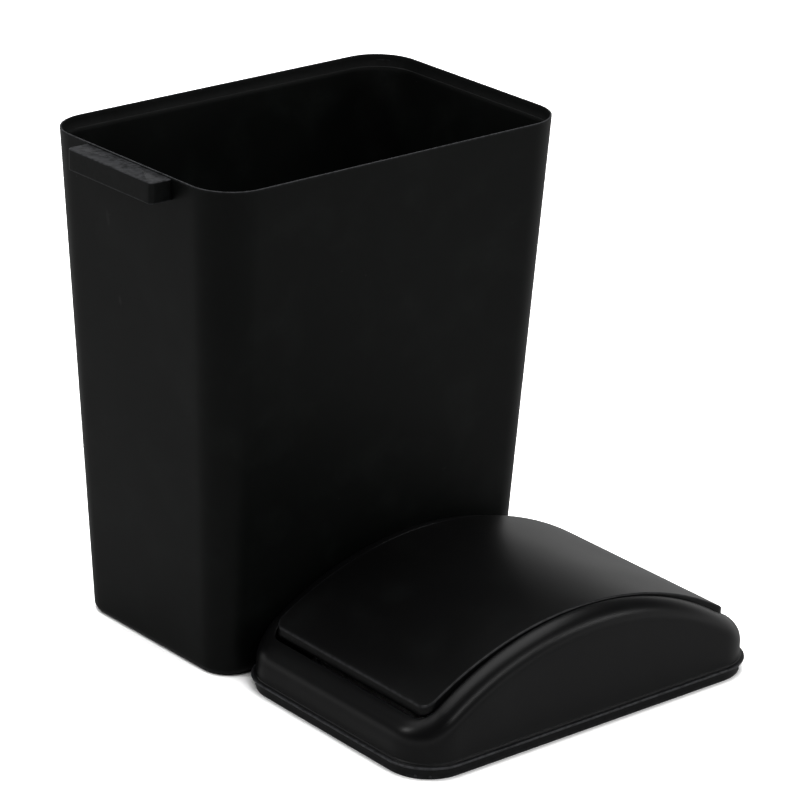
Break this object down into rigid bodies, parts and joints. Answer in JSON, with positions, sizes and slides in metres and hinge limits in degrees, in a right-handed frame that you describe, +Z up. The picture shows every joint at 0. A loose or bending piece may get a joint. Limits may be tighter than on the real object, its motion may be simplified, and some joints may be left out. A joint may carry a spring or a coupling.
{
  "type": "slim trash can",
  "caption": "Slim open-topped trash can with a grip on one end, and its domed swing-flap lid lying beside it.",
  "frame": {"origin": "middle of the tub's underside, on the floor", "axes": "+Z up, +X along the tub's long side, -Y towards the lid lying in front of the tub"},
  "size_m": [0.3926, 0.4381, 0.4],
  "materials": {
    "tub": "moulded black polypropylene, low sheen",
    "lid": "moulded black polypropylene, satin",
    "flap": "moulded black polypropylene, satin"
  },
  "bodies": {
    "tub": {"bin_tub": "tub"},
    "lid": {"lid_frame": "lid"},
    "flap": {"swing_flap": "flap"}
  },
  "joints": [
    {"name": "lid_lift", "type": "slide", "parent": "tub", "child": "lid", "axis": [0, -0.14, 0.9902], "range_m": [0, 0.45]},
    {"name": "flap_swing", "type": "hinge", "parent": "lid", "child": "flap", "pos_m": [0.0287, -0.2095, 0.083], "axis": [0.0192, 0.9998, 0], "range_deg": [-60, 60]}
  ]
}
